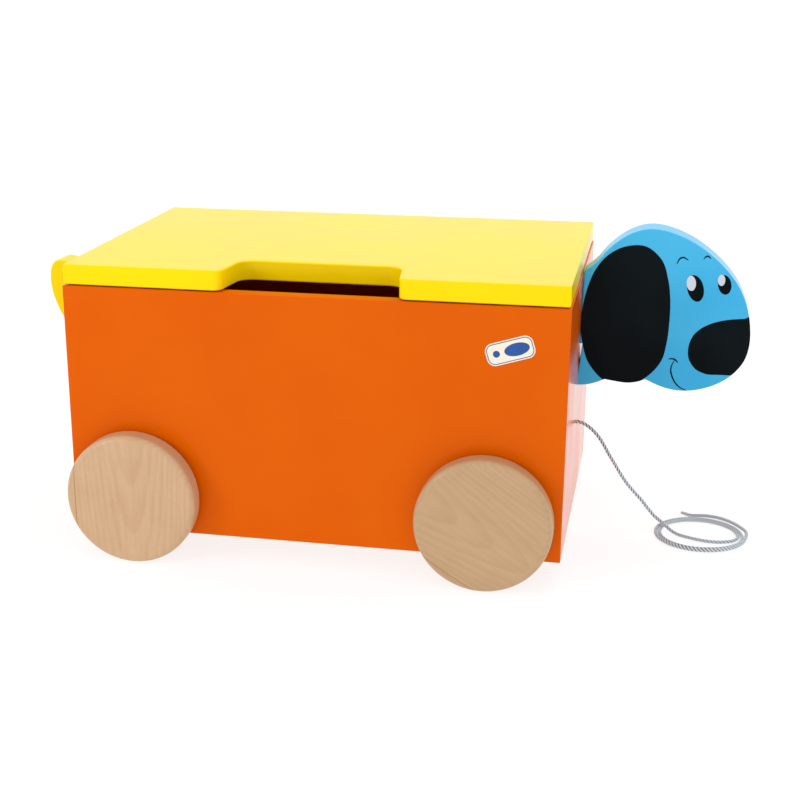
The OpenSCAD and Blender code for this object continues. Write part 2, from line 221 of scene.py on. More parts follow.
# %% A wire in a material
class Wire:
    """One socket of a material's nodes, which arithmetic and other nodes can use."""

    def __init__(self, tree, socket=None):
        self.tree = tree
        self.socket = socket

    def node(self, kind, settings=None, values=None, output=0):
        """Adds a node: first its settings, then the values or wires of its sockets."""
        made = self.tree.nodes.new("ShaderNode" + kind)
        for name, value in (settings or {}).items():
            setattr(made, name, value)
        for name, value in (values or {}).items():
            if isinstance(value, Wire):
                self.tree.links.new(value.socket, made.inputs[name])
            else:
                made.inputs[name].default_value = value
        return Wire(self.tree, made.outputs[output])

    def maths(self, operation, *values):
        """Adds a Math node on any wires or numbers."""
        return self.node("Math", {"operation": operation}, dict(enumerate(values)))

    def __add__(self, other):
        return self.maths("ADD", self, other)

    def __sub__(self, other):
        return self.maths("SUBTRACT", self, other)

    def __rsub__(self, other):
        return self.maths("SUBTRACT", other, self)

    def __mul__(self, other):
        return self.maths("MULTIPLY", self, other)

    __radd__ = __add__
    __rmul__ = __mul__

    def step(self, low, high):
        """0 below low, 1 above high, and a smooth step between them."""
        return self.node("MapRange", {"interpolation_type": "SMOOTHSTEP"},
                         {"Value": self, "From Min": low, "From Max": high})

    def mix(self, first, second):
        """The first colour where this is 0 and the second where it is 1."""
        return self.node("Mix", {"data_type": "RGBA"}, {0: self, 6: first, 7: second}, output=2)

    def stretched(self, scale, place=(0, 0, 0), turn=(0, 0, 0)):
        """These coordinates from another centre, turned, and then scaled."""
        moved = self.node("Mapping", {"vector_type": "TEXTURE"},
                          {"Vector": self, "Location": place, "Rotation": turn})
        return self.node("Mapping", {}, {"Vector": moved, "Scale": scale})

    def noise(self, scale, detail=2.0, rough=0.5):
        """Soft noise between 0 and 1 on these coordinates."""
        return self.node("TexNoise", {}, {"Vector": self, "Scale": scale, "Detail": detail,
                                          "Roughness": rough})


# %% [markdown]
# A finish starts from a Principled shader. Values that are the same all over are set on the shader
# itself, and only colour, roughness and the bump are wired.

# %% Start a finish
def rgb(red, green, blue):
    """Colour for a shader from the usual 0 to 255 steps."""
    steps = (value / 255 for value in (red, green, blue))
    return (*((s / 12.92 if s <= 0.04045 else ((s + 0.055) / 1.055) ** 2.4) for s in steps), 1)


def start_finish(name, **constants):
    """A new material with the shader's own values set, and the object's coordinates."""
    material = bpy.data.materials.new(name)
    material.use_nodes = True
    tree = material.node_tree
    shader = tree.nodes["Principled BSDF"]
    for socket, value in constants.items():
        shader.inputs[socket.replace("_", " ")].default_value = value
    place = Wire(tree).node("TexCoord", output=3)
    return material, shader, place


def connect(shader, colour, roughness=None, height=None, depth=0.1 * MM, strength=1.0):
    """Wires what varies over the surface into the shader."""
    for socket, wire in (("Base Color", colour), ("Roughness", roughness)):
        if wire is not None:
            wire.tree.links.new(wire.socket, shader.inputs[socket])
    if height is not None:
        bump = height.node("Bump", {}, {"Height": height, "Distance": depth, "Strength": strength})
        bump.tree.links.new(bump.socket, shader.inputs["Normal"])


# %% [markdown]
# ## Lacquer on wood
# The boards are sprayed with a coloured lacquer. Close up it is a little uneven, like the skin of an
# orange, with a few specks of dust under it, and its colour drifts slightly over a large board. The
# reflection is weak from the front and strong at a low angle, so its specular level is set low.
# The four patterns are given by how many of their features fit in a metre.

# %% Lacquer
DRIFT, PEEL, SWELL, DUST = 9, 520, 70, 900


def lacquer(name, thick, thin, level, gloss):
    """Sprayed lacquer: its colours where it is thick and thin, its specular level and its roughness."""
    material, shader, place = start_finish(name, Specular_IOR_Level=level)
    drift = place.noise(DRIFT, 3, 0.55).step(0.3, 0.7)
    peel = place.noise(PEEL)
    swell = place.noise(SWELL)
    dust = place.noise(DUST, 1, 0.4).step(0.73, 0.79)
    colour = (drift * 0.8 + peel * 0.2).mix(thick, thin)
    connect(shader, colour, gloss + 0.07 * drift + 0.05 * peel + 0.1 * dust,
            height=peel * 0.5 + swell * 1.2 + dust * 0.4, depth=0.03 * MM, strength=0.5)
    return material


orange_lacquer = lacquer("orange_lacquer", rgb(219, 91, 0), rgb(223, 96, 0), level=0.06, gloss=0.07)
yellow_lacquer = lacquer("yellow_lacquer", rgb(248, 214, 0), rgb(252, 220, 0), level=0.1, gloss=0.14)
blue_lacquer = lacquer("blue_lacquer", rgb(42, 172, 226), rgb(64, 186, 236), level=0.34, gloss=0.16)
black_paint = lacquer("black_paint", rgb(3, 8, 10), rgb(12, 22, 26), level=0.05, gloss=0.3)
white_paint = lacquer("white_paint", rgb(196, 206, 222), rgb(212, 222, 234), level=0.3, gloss=0.34)
print("lacquers", [m.name for m in (orange_lacquer, yellow_lacquer, blue_lacquer, black_paint, white_paint)])


# %% [markdown]
# ## Plain wood
# The wheels are cut from beech boards that are glued together. Growth rings are surfaces around the
# middle of the trunk, the pith, so the pattern on a wheel is the distance from a line under the
# board, read in three dimensions. That way the rings also run correctly over the rounded edge. The
# line is slightly tilted, which gives the pointed arches, and beech has short dark flecks and fine
# pores. Beyond the glue line the next board was cut from another place, so its rings are shifted,
# and the line itself is full to 0.1 mm from its middle and gone at 0.6 mm. Rings and patterns are
# counted per metre, and a stretch below 1 draws a pattern out along the grain. The tone is a sum
# in which each feature has its own share.

# %% Wood
RINGS = 300
WAVE, CLOUD, STREAK, FLECK, FIBRE = 26, 32, 240, 1150, 1500
NEXT_BOARD = (0.071, 0.013)
GLUE_LINE = (0.1 * MM, 0.6 * MM)
FLECK_BROWN = rgb(166, 112, 72)
GLUE_BROWN = rgb(160, 112, 72)


def wood(name, centre, grain, seam, pale, ruddy, pith=(0.012, -0.04), tilt=0.35):
    """Beech with its pattern about a centre, its grain turned, and a glue line at seam."""
    material, shader, place = start_finish(name, Specular_IOR_Level=0.3, Coat_Weight=0.4,
                                           Coat_Roughness=0.22)
    board = place.stretched((1, 1, 1), centre, (0, grain, 0))
    across = board.node("SeparateXYZ", {}, {0: board})
    depth, length = (Wire(across.tree, across.socket.node.outputs[i]) for i in (1, 2))
    wave = board.stretched((1, 1, 0.18)).noise(WAVE, 3) - 0.5
    beyond = across.maths("LESS_THAN", across, seam)
    side = across + wave * 0.006 - pith[0] + beyond * NEXT_BOARD[0]
    below = depth + length * tilt + pith[1] + wave * 0.005 + beyond * NEXT_BOARD[1]
    radius = across.maths("SQRT", side * side + below * below)
    ring = across.maths("FRACT", radius * RINGS + wave * 1.3)
    late = ring.step(0.2, 0.9) * (1 - ring.step(0.9, 1.0))
    fibre = board.stretched((1, 1, 0.035)).noise(FIBRE, 3, 0.6)
    streak = board.stretched((1, 1, 0.04)).noise(STREAK)
    fleck = board.stretched((1, 1, 0.22)).noise(FLECK, 1, 0.4).step(0.66, 0.74)
    cloud = place.noise(CLOUD)
    glue = across.maths("ABSOLUTE", across - seam + wave * 0.0006).step(*GLUE_LINE)
    tone = late * 0.16 + streak * 0.38 + fibre * 0.25 + cloud * 0.4 + beyond * 0.12 - 0.26
    colour = tone.mix(pale, ruddy)
    colour = (fleck * 0.22).mix(colour, FLECK_BROWN)
    colour = glue.mix(GLUE_BROWN, colour)
    connect(shader, colour, 0.46 + 0.16 * fibre + 0.08 * late,
            height=fibre * 0.6 - fleck * 0.7 + late * 0.25 + glue * 0.8, depth=0.05 * MM, strength=0.6)
    return material


# %% [markdown]
# ## Boards from the frame
# A board already has its grooves, bores and pockets in the CAD model. A copy of that mesh is merged
# into whole faces, and its outer edges are eased with a small radius, as sandpaper does before the
# lacquer goes on. The size does not change, because a bevel only takes wood away. An edge is known
# by the sides of the board's box that it lies on: 0 and 1 are the low and the high side along x,
# 2 and 3 those along y, and 4 and 5 those along z.

# %% Ease the edges of a board
MERGE = 0.01 * MM
ON_SIDE = 0.02 * MM
ONE_FACE = math.radians(0.5)
CORNER = math.radians(40)


def eased_board(node, body, finish, radius, pick, segments=4):
    """A copy of a CAD board with the edges that pick chooses rounded."""
    shape = bmesh.new()
    shape.from_mesh(nodes[node].data)
    bmesh.ops.remove_doubles(shape, verts=shape.verts, dist=MERGE)
    bmesh.ops.dissolve_limit(shape, angle_limit=ONE_FACE, verts=shape.verts, edges=shape.edges)
    low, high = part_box(node)
    corners = [edge for edge in shape.edges if len(edge.link_faces) == 2
               and edge.calc_face_angle() > CORNER and pick(edge, low, high)]
    bmesh.ops.bevel(shape, geom=corners, affect="EDGES", offset=radius, offset_type="OFFSET",
                    segments=segments, profile=0.5, material=-1, clamp_overlap=True)
    piece = make_piece("painted_" + node, shape, body, finish)
    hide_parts(node)
    return piece


def sides_of(edge, low, high):
    """The numbers of the sides of the board's box that an edge lies on."""
    found = set()
    for i in range(3):
        if all(abs(v.co[i] - low[i]) < ON_SIDE for v in edge.verts):
            found.add(2 * i)
        if all(abs(v.co[i] - high[i]) < ON_SIDE for v in edge.verts):
            found.add(2 * i + 1)
    return found


def outer(edge, low, high):
    """Whether an edge is one of the twelve of the board's box."""
    return len(sides_of(edge, low, high)) == 2


SIDE_EASE = 1.2 * MM
END_EASE = 0.5 * MM
for node in ("right_side_panel", "left_side_panel"):
    eased_board(node, "box", orange_lacquer, SIDE_EASE, outer)
for node in ("front_end_panel", "rear_end_panel"):
    eased_board(node, "box", orange_lacquer, END_EASE, outer, segments=2)

# %% [markdown]
# ## The lid
# The lid is one board with a hand notch sawn into its front edge. The upper and the lower arris are
# both eased, and so are the upright corners. The pockets of the hinges at the back keep sharp edges,
# because they are cut after sanding.

# %% The lid
LID_EASE = 1.6 * MM
HINGE_STRIP = 20 * MM
BOTTOM, TOP = 4, 5
SHARP = math.radians(60)


def lid_edges(edge, low, high):
    """The arrises of the lid, but not those of the hinge pockets."""
    first, second = (vertex.co for vertex in edge.verts)
    flat = sides_of(edge, low, high) & {BOTTOM, TOP}
    upright = abs(first.z - second.z) > (high.z - low.z) * 0.9
    sharp = upright and edge.calc_face_angle() > SHARP
    in_front = (first.y + second.y) / 2 < high.y - HINGE_STRIP
    if in_front and (flat or sharp):
        return True
    return outer(edge, low, high) and BOTTOM not in flat


eased_board("lid_panel", "lid", yellow_lacquer, LID_EASE, lid_edges)

# %% [markdown]
# ## Head and tail
# Both are sawn from a thick board, so their outline runs straight through, and both of its arrises
# are rounded on a router table.

# %% Head and tail boards
HEAD_EASE = 1.0 * MM
TAIL_EASE = 1.2 * MM
RIGHT_AND_LEFT = {2, 3}


def rim_edges(edge, low, high):
    """The outline on both faces of an upright board, but not where it meets the box."""
    on_face = sides_of(edge, low, high) & RIGHT_AND_LEFT
    box_end = FRONT_X if low.x > 0 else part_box("rear_end_panel")[0].x
    touches = all(abs(v.co.x - box_end) < ON_SIDE for v in edge.verts)
    return bool(on_face) and not touches


head = eased_board("head_board", "box", blue_lacquer, HEAD_EASE, rim_edges)
eased_board("tail_board", "box", yellow_lacquer, TAIL_EASE, rim_edges)

# %% [markdown]
# ## Paint on the head
# The ear, the nose, the eyes and the fine lines are printed on both faces of the head. Each is a
# thin film with a crisp outline. The ear and the nose run to the edge of the board, so their film is
# cut from a copy of the head that is one film thicker all round, and it wraps over the rounded edge.

# %% Helpers for the paint
FILM = 0.08 * MM
FILM_ROOT = -0.3 * MM
OVAL_POINTS = 40
THIN_END = 0.3
head_low, head_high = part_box("head_board")
HEAD_AT = Vector((FRONT_X, 0, head_low.z))


def outline_through(points, steps=6):
    """A closed smooth outline through points on the head, in millimetres from its lower left corner."""
    loop = [Vector((x, z)) for x, z in points]
    smooth = smooth_line([loop[-1], *loop, loop[0], loop[1]], steps)
    return smooth[steps:-steps]


def oval(x, z, wide, high, lean):
    """A leaning oval, in millimetres from the head's lower left corner."""
    turn = Matrix.Rotation(math.radians(lean), 2)
    angles = (math.tau * i / OVAL_POINTS for i in range(OVAL_POINTS))
    return [Vector((x, z)) + turn @ Vector((wide * math.cos(a), high * math.sin(a))) for a in angles]


def brush_line(points, width, steps=8):
    """Outline of a brush stroke that is full in its middle and thin at its ends."""
    line = smooth_line([Vector(p) for p in points], steps)
    left, right = [], []
    for i, p in enumerate(line):
        run = line[min(i + 1, len(line) - 1)] - line[max(i - 1, 0)]
        side = Vector((-run.y, run.x)).normalized()
        share = i / (len(line) - 1)
        half = width / 2 * (THIN_END + (1 - THIN_END) * math.sin(math.pi * share) ** 0.7)
        left.append(p + side * half)
        right.append(p - side * half)
    return left + right[::-1]


def lift(shape, faces, by):
    """Extrudes flat faces of a bmesh sideways, along y."""
    lifted = bmesh.ops.extrude_face_region(shape, geom=faces)
    raised = [part for part in lifted["geom"] if isinstance(part, bmesh.types.BMVert)]
    bmesh.ops.translate(shape, verts=raised, vec=(0, by, 0))


def film_prism(outline, side, low, high):
    """A bmesh of an outline on one face of the head, from the depth low to the height high."""
    shape = bmesh.new()
    face_y = head_high.y if side > 0 else head_low.y
    ring = [shape.verts.new((HEAD_AT.x + p.x * MM, face_y + side * low, HEAD_AT.z + p.y * MM))
            for p in outline]
    base = shape.faces.new(ring)
    lift(shape, [base], side * (high - low))
    bmesh.ops.remove_doubles(shape, verts=shape.verts, dist=0.1 * MERGE)
    bmesh.ops.recalc_face_normals(shape, faces=shape.faces)
    return shape


# %% [markdown]
# The cut itself is a Boolean modifier: it keeps what the prism and the thicker head share. It is
# applied at once, so that the finished film does not depend on the helper objects.

# %% Cut a film to the head's edge
WRAP_ROOT, WRAP_TOP = -2.2 * MM, 1 * MM


def skin_of_head():
    """A copy of the finished head, one film thicker all round."""
    graph = bpy.context.evaluated_depsgraph_get()
    mesh = bpy.data.meshes.new_from_object(head.evaluated_get(graph))
    shape = bmesh.new()
    shape.from_mesh(mesh)
    bmesh.ops.triangulate(shape, faces=[f for f in shape.faces if len(f.verts) > 4])
    for vertex in shape.verts:
        vertex.co += vertex.normal * FILM
    shape.to_mesh(mesh)
    shape.free()
    skin = bpy.data.objects.new("skin", mesh)
    bpy.context.scene.collection.objects.link(skin)
    return skin


def wrapped_film(name, outline, side, skin, finish):
    """A film that runs over the head's rounded edge."""
    mesh = bpy.data.meshes.new(name)
    shape = film_prism(outline, side, WRAP_ROOT, WRAP_TOP)
    shape.to_mesh(mesh)
    shape.free()
    block = bpy.data.objects.new(name + "_block", mesh)
    bpy.context.scene.collection.objects.link(block)
    common = block.modifiers.new("cut", "BOOLEAN")
    common.operation = "INTERSECT"
    common.solver = "EXACT"
    common.object = skin
    graph = bpy.context.evaluated_depsgraph_get()
    film = bpy.data.meshes.new_from_object(block.evaluated_get(graph))
    bpy.data.objects.remove(block)
    film.name = name
    put_in_scene(name, film, "box", finish)
    print(f"{name}: {len(film.polygons)} faces")


# %% [markdown]
# The outlines are given from the head's lower left corner: the ear is a long drop that ends at the
# cheek, the nose is a rounded block that runs over the muzzle.

# %% Ear and nose
ear = [(79.9, 74.0), (79.1, 87.6), (76.5, 103.1), (70.0, 121.0), (55.0, 133.3), (36.1, 132.4),
       (20.4, 123.1), (10.4, 109.2), (5.2, 95.3), (2.2, 82.6), (0.6, 70.1), (0.0, 56.4), (2.4, 40.7),
       (8.7, 22.2), (24, 6), (44, 1.5), (62.3, 11.4), (74.7, 27.1), (78.8, 45.4), (79.8, 60.6)]
nose = [(158, 71.2), (145, 70.8), (132.6, 69.4), (122.8, 67.1), (114.9, 64.0), (107.6, 59.4),
        (101.4, 52.2), (98.4, 42.1), (99.5, 30.7), (106.3, 21.4), (116.5, 17.3), (126.6, 17.3),
        (142, 17.4), (158, 17.6)]
skin = skin_of_head()
for side, hand in ((-1, "right"), (1, "left")):
    wrapped_film(hand + "_ear_paint", outline_through(ear), side, skin, black_paint)
    wrapped_film(hand + "_nose_paint", outline_through(nose), side, skin, black_paint)
bpy.data.objects.remove(skin)

# %% [markdown]
# The eyes are leaning ovals with a light spot that stands a little higher. Each eye is given by its
# middle, its half width and half height and its lean, and then the same three of its spot. The
# brows, the smile and the cheek's fold are single brush strokes.

# %% Eyes, brows and smile
SPOT_FILM = 1.7 * FILM
STROKE = 1.45
eyes = [((100.8, 96.8), (7.2, 12.4), 15.7, (96.8, 101.3), (4.1, 6.9), 6.2),
        ((126.1, 101.2), (5.8, 9.0), 11.9, (123.1, 105.3), (3.2, 5.1), 2.8)]
strokes = {"near_brow": [(82.9, 118.5), (85, 123), (87.4, 124.5), (89.9, 124.1), (92.9, 122.1)],
           "far_brow": [(106.1, 123.8), (107.7, 125.9), (109.2, 126.6), (110.8, 126), (112.5, 124.4)],
           "smile": [(86.9, 29), (84.6, 24), (84.1, 18.8), (85.6, 13.5), (88.6, 7.8), (93.5, 3.2),
                     (99.4, 0.8)],
           "cheek": [(81.2, 29.8), (84, 30.2), (86.6, 29.9), (88.6, 28.4), (90, 26.5)]}
for side, hand in ((-1, "right"), (1, "left")):
    for i, (middle, size, lean, spot, spot_size, spot_lean) in enumerate(eyes):
        shape = film_prism(oval(*middle, *size, lean), side, FILM_ROOT, FILM)
        make_piece(f"{hand}_eye_{i + 1}", shape, "box", black_paint, even=False)
        shape = film_prism(oval(*spot, *spot_size, spot_lean), side, FILM_ROOT, SPOT_FILM)
        make_piece(f"{hand}_eye_spot_{i + 1}", shape, "box", white_paint, even=False)
    for name, points in strokes.items():
        shape = film_prism(brush_line(points, STROKE), side, FILM_ROOT, FILM)
        make_piece(f"{hand}_{name}", shape, "box", black_paint, even=False)

# %% [markdown]
# ## Wheels
# A wheel is a disc turned on a lathe: flat outside, with a generous round on both edges and a blind
# bore for the axle inside. So its half section is drawn once and spun around the axle. Each wheel
# has its own cut of the wood, with its own grain direction and glue line, and the lighter or the darker of
# two tones.

# %% Turn a wheel
WHEEL_STEPS = 144
ROUND_STEPS = 10
wheel_low, wheel_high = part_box("front_right_wheel")
rod_low, rod_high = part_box("front_axle_rod")
WHEEL_R = (wheel_high.z - wheel_low.z) / 2
WHEEL_T = wheel_high.y - wheel_low.y
WHEEL_ROUND = 5.5 * MM
AXLE_R = (rod_high.z - rod_low.z) / 2
AXLE_SEAT = WHEEL_T - (rod_low.y - wheel_low.y)
BORE_EASE = 0.5 * MM


def wheel_section():
    """Half section as (radius, height over the inner face), from the bore's end to the outer middle."""
    points = [(0, AXLE_SEAT), (AXLE_R, AXLE_SEAT), (AXLE_R, BORE_EASE), (AXLE_R + BORE_EASE, 0)]
    centre = WHEEL_R - WHEEL_ROUND
    for base, start in ((WHEEL_ROUND, -90), (WHEEL_T - WHEEL_ROUND, 0)):
        for i in range(ROUND_STEPS + 1):
            a = math.radians(start + 90 * i / ROUND_STEPS)
            points.append((centre + WHEEL_ROUND * math.cos(a), base + WHEEL_ROUND * math.sin(a)))
    return points + [(WHEEL_R * 0.5, WHEEL_T), (0, WHEEL_T)]


def turn_wheel(node, body, finish):
    """Spins the section around the axle of one wheel."""
    low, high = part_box(node)
    side = 1 if low.y > 0 else -1
    inner_y = low.y if side > 0 else high.y
    axle = Vector(((low.x + high.x) / 2, inner_y, (low.z + high.z) / 2))
    shape = bmesh.new()
    section = [shape.verts.new(axle + Vector((radius, side * height, 0)))
               for radius, height in wheel_section()]
    edges = [shape.edges.new(pair) for pair in zip(section, section[1:])]
    bmesh.ops.spin(shape, geom=section + edges, cent=axle, axis=(0, 1, 0), angle=math.tau,
                   steps=WHEEL_STEPS, use_merge=True)
    bmesh.ops.remove_doubles(shape, verts=shape.verts, dist=MERGE)
    piece = make_piece("turned_" + node, shape, body, finish)
    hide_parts(node)


# %% [markdown]
# A cut is given by its grain in degrees, the place of its glue line, the pith's tilt and its place
# across and below the board, and the two tones of the wood. All places are in metres.

# %% Four wheels
light_cut = (rgb(208, 173, 134), rgb(180, 136, 96))
dark_cut = (rgb(196, 162, 122), rgb(172, 132, 92))
cuts = {"rear_right_wheel": (0, -0.052, 0.07, (0.003, -0.03), light_cut),
        "front_right_wheel": (-58, -0.0535, 0.09, (-0.008, -0.034), dark_cut),
        "front_left_wheel": (24, 0.041, 0.08, (0.02, -0.03), light_cut),
        "rear_left_wheel": (-12, -0.037, -0.09, (0, -0.03), dark_cut)}
for node, (grain, seam, tilt, pith, tones) in cuts.items():
    low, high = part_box(node)
    finish = wood("beech_" + node, (low + high) / 2, math.radians(grain), seam, *tones, pith, tilt)
    turn_wheel(node, "front_wheelset" if node.startswith("front") else "rear_wheelset", finish)

# %% [markdown]
# ## The cord
# The cord is laid from three strands that wind around one line. Each strand is a curve of its own
# with a round bevel, and the curve becomes a mesh, so that the grooves between the strands are real.

# %% Frames along the cord
STRANDS = 3
LAY_LENGTH = 10.8 * MM
STRAND_R = 0.87 * MM
STRAND_AT = CORD_D / 2 - STRAND_R


def frames_along(line):
    """A side and an up direction at every point, carried along the line without twist."""
    frames = []
    side = Vector((0, 1, 0))
    for i in range(len(line)):
        run = (line[min(i + 1, len(line) - 1)] - line[max(i - 1, 0)]).normalized()
        side = (side - run * side.dot(run)).normalized()
        frames.append((side, run.cross(side)))
    return frames


def strands_around(line):
    """The middle lines of the three strands that wind around a line."""
    frames = frames_along(line)
    strands = []
    for start in range(STRANDS):
        strand = []
        for i, (p, (side, up)) in enumerate(zip(line, frames)):
            a = math.tau * start / STRANDS + math.tau * i * LAY_STEP / LAY_LENGTH
            strand.append(p + STRAND_AT * (side * math.cos(a) + up * math.sin(a)))
        strands.append(strand)
    return strands


# %% [markdown]
# The three strands share one mesh. A pattern in space would not follow the turns of the coil, so
# the mesh carries two attributes. The yarn says where a vertex is around and along its strand,
# which follows from its place in the list, because the rings are in order. The crest says how far
# it is from the cord's own line; the finish uses it to paint shade into the grooves and keep the crests
# pale.

# %% Lay the strands
RING = 10


def strand_mesh(name, middle):
    """A mesh of round strands around a line, with the attributes yarn and crest."""
    strands = strands_around(middle)
    curve = bpy.data.curves.new(name, "CURVE")
    curve.dimensions = "3D"
    curve.bevel_depth = STRAND_R
    curve.bevel_resolution = RING // 2 - 2
    curve.use_fill_caps = True
    curve.twist_mode = "MINIMUM"
    for strand in strands:
        spline = curve.splines.new("POLY")
        spline.points.add(len(strand) - 1)
        for point, place in zip(spline.points, strand):
            point.co = (*place, 1)
    holder = bpy.data.objects.new(name, curve)
    bpy.context.scene.collection.objects.link(holder)
    graph = bpy.context.evaluated_depsgraph_get()
    mesh = bpy.data.meshes.new_from_object(holder.evaluated_get(graph))
    bpy.data.objects.remove(holder)
    bpy.data.curves.remove(curve)
    count = len(mesh.vertices) // sum(len(strand) for strand in strands)
    mesh.attributes.new("yarn", "FLOAT_VECTOR", "POINT")
    mesh.attributes.new("crest", "FLOAT", "POINT")
    yarn, crest = mesh.attributes["yarn"].data, mesh.attributes["crest"].data
    core = kdtree.KDTree(len(middle))
    for i, point in enumerate(middle):
        core.insert(point, i)
    core.balance()
    for i, vertex in enumerate(mesh.vertices):
        a = math.tau * (i % count) / count
        yarn[i].vector = (math.cos(2 * a), math.sin(2 * a), i // count * LAY_STEP)
        crest[i].value = core.find(vertex.co)[2] / (CORD_D / 2)
    print(f"{name}: {count} points round each strand, {len(mesh.vertices)} in all")
    return mesh


# %% [markdown]
# The yarn is a shiny synthetic one, light grey with a blue cast. The fine lines run at an angle
# around each strand. A sine of along plus around is worked out from its parts, so that it has no
# seam where the ring closes.

# %% Cord finish
# Between these two crest values the painted shade of the grooves fades out.
GROOVE_SHADE_LOW, GROOVE_SHADE_HIGH = 0.66, 0.99
YARN_LENGTH = 1.9 * MM


def cord_finish(name, pale, dark):
    """Twisted synthetic yarn, with painted shade in the grooves between its strands."""
    material, shader, place = start_finish(name, Specular_IOR_Level=0.5, Sheen_Weight=0.25,
                                           Sheen_Roughness=0.4)
    yarn = place.node("Attribute", {"attribute_name": "yarn"}, {}, output=1)
    parts = yarn.node("SeparateXYZ", {}, {0: yarn})
    cosine, sine, run = (Wire(parts.tree, parts.socket.node.outputs[i]) for i in range(3))
    angle = run * (math.tau / YARN_LENGTH)
    lines = angle.maths("SINE", angle) * cosine + angle.maths("COSINE", angle) * sine
    fuzz = place.noise(2600, 3, 0.6)
    fade = place.noise(60)
    height = place.node("Attribute", {"attribute_name": "crest"}, {}, output=2)
    # The crest step paints shade into the grooves between the strands; the dark colour is that painted
    # shade.
    tone = height.step(GROOVE_SHADE_LOW, GROOVE_SHADE_HIGH) + lines * 0.1 + fuzz * 0.15 + fade * 0.15 - 0.17
    connect(shader, tone.mix(dark, pale), 0.38 + 0.2 * fuzz, height=lines * 0.5 + fuzz * 0.5,
            depth=0.12 * MM, strength=0.8)
    return material


# The second colour is the painted shade of the grooves, the first the yarn's own pale grey.
grey_cord = cord_finish("grey_cord", rgb(214, 228, 236), rgb(40, 36, 33))
cord = put_in_scene("laid_cord", strand_mesh("laid_cord", cord_line), "box", grey_cord,
                    even=False)
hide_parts("pull_cord", "cord_coil")

# %% [markdown]
# ## The cord's two ends
# The outer end is melted and pressed into a short smooth tip. The inner end is knotted behind the
# panel, so that it can't slip out. The knot is an overhand knot, whose line is most of a tight
# trefoil. The tip has no strands, so all of it gets one crest value, and with it one even level of the
# painted groove shade.

# %% The knot
knot_low, knot_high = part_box("stopper_knot")
knot_middle = (knot_low + knot_high) / 2
KNOT_STEPS = 110
KNOT_FROM, KNOT_SWEEP = -20, 300
KNOT_LOOP = 1.15 * MM
KNOT_DEPTH = 2.1 * MM


def knot_point(share):
    """A point of the overhand knot, for a share of its line from 0 to 1."""
    a = math.radians(KNOT_FROM + KNOT_SWEEP * share)
    across = (math.sin(a) + 2 * math.sin(2 * a)) * KNOT_LOOP
    up = (math.cos(a) - 2 * math.cos(2 * a)) * KNOT_LOOP
    lengthwise = -math.sin(3 * a) * KNOT_DEPTH
    return knot_middle + Vector((lengthwise, across, up))


knot_line, knot_length = even_line([knot_point(i / KNOT_STEPS) for i in range(KNOT_STEPS + 1)], LAY_STEP)
print("the knot's line is", round(knot_length, 4), "m long")
knot = put_in_scene("overhand_knot", strand_mesh("overhand_knot", knot_line), "box",
                    grey_cord, even=False)
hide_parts("stopper_knot")

# %% The melted tip
TIP_STEPS = 28
TIP_CREST = 0.86
TIP_TURN = math.radians(145)
TIP_OVERLAP = 0.5 * MM
TIP_L = 12 * MM
TIP_R = CORD_D / 2
tip_section = [(0, 0), (0.98 * TIP_R, 0), (TIP_R, 1 * MM), (0.93 * TIP_R, TIP_L * 0.5),
               (0.84 * TIP_R, TIP_L - 1.6 * MM), (0.66 * TIP_R, TIP_L - 0.6 * MM),
               (0.3 * TIP_R, TIP_L), (0, TIP_L)]


def melted_tip(name, start, heading):
    """A short smooth end that narrows to a blunt round."""
    shape = bmesh.new()
    ring = [shape.verts.new((r, 0, z)) for r, z in tip_section]
    edges = [shape.edges.new(pair) for pair in zip(ring, ring[1:])]
    bmesh.ops.spin(shape, geom=ring + edges, cent=(0, 0, 0), axis=(0, 0, 1), angle=math.tau,
                   steps=TIP_STEPS, use_merge=True)
    bmesh.ops.remove_doubles(shape, verts=shape.verts, dist=MERGE)
    turn = Vector((0, 0, 1)).rotation_difference(heading).to_matrix()
    bmesh.ops.rotate(shape, verts=shape.verts, cent=(0, 0, 0), matrix=turn)
    bmesh.ops.translate(shape, verts=shape.verts, vec=start)
    piece = make_piece(name, shape, "box", grey_cord, even=False)
    crest = piece.data.attributes.new("crest", "FLOAT", "POINT")
    for value in crest.data:
        value.value = TIP_CREST
    return piece


tip_heading = Vector((math.cos(TIP_TURN), math.sin(TIP_TURN), 0))
tip = melted_tip("melted_tip", cord_points[-1] - tip_heading * TIP_OVERLAP, tip_heading)
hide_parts("cord_tip")
cord_line[::4] + [cord_line[-1]]

# %% [markdown]
# ## The label
# A small plain label is stuck on the right side near the front. Its film comes from the frame. A
# thin printed border, a plain oval and a dot stand on it, each as a thin film of ink.

# %% Label finishes
def printed(name, colour, darker):
    """Printed film: even colour with a faint paper grain."""
    material, shader, place = start_finish(name, Specular_IOR_Level=0.4)
    fine = place.noise(1800)
    soft = place.noise(90)
    connect(shader, (fine * 0.4 + soft * 0.6).mix(colour, darker), 0.3 + 0.12 * fine, height=fine,
            depth=0.02 * MM, strength=0.4)
    return material


label_film = printed("label_film", rgb(246, 240, 222), rgb(232, 224, 200))
blue_ink = printed("blue_ink", rgb(28, 88, 168), rgb(20, 66, 140))
print("label finishes", label_film.name, blue_ink.name)

# %% [markdown]
# The ink is drawn flat around the label's middle, then tilted with it and moved to the panel. Half
# of a film of ink is sunk into the label, so that no two faces lie in one plane.

# %% Ink on the label
label_low, label_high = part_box("side_label")
LABEL_TILT = math.radians(17)
LABEL_SIZE = Vector((42, 20)) * MM
LABEL_R = 7 * MM
INK = 0.05 * MM
BORDER = (1.0 * MM, 1.7 * MM)
DOT_R = 3 * MM
label_middle = Vector(((label_low.x + label_high.x) / 2, label_low.y, (label_low.z + label_high.z) / 2))


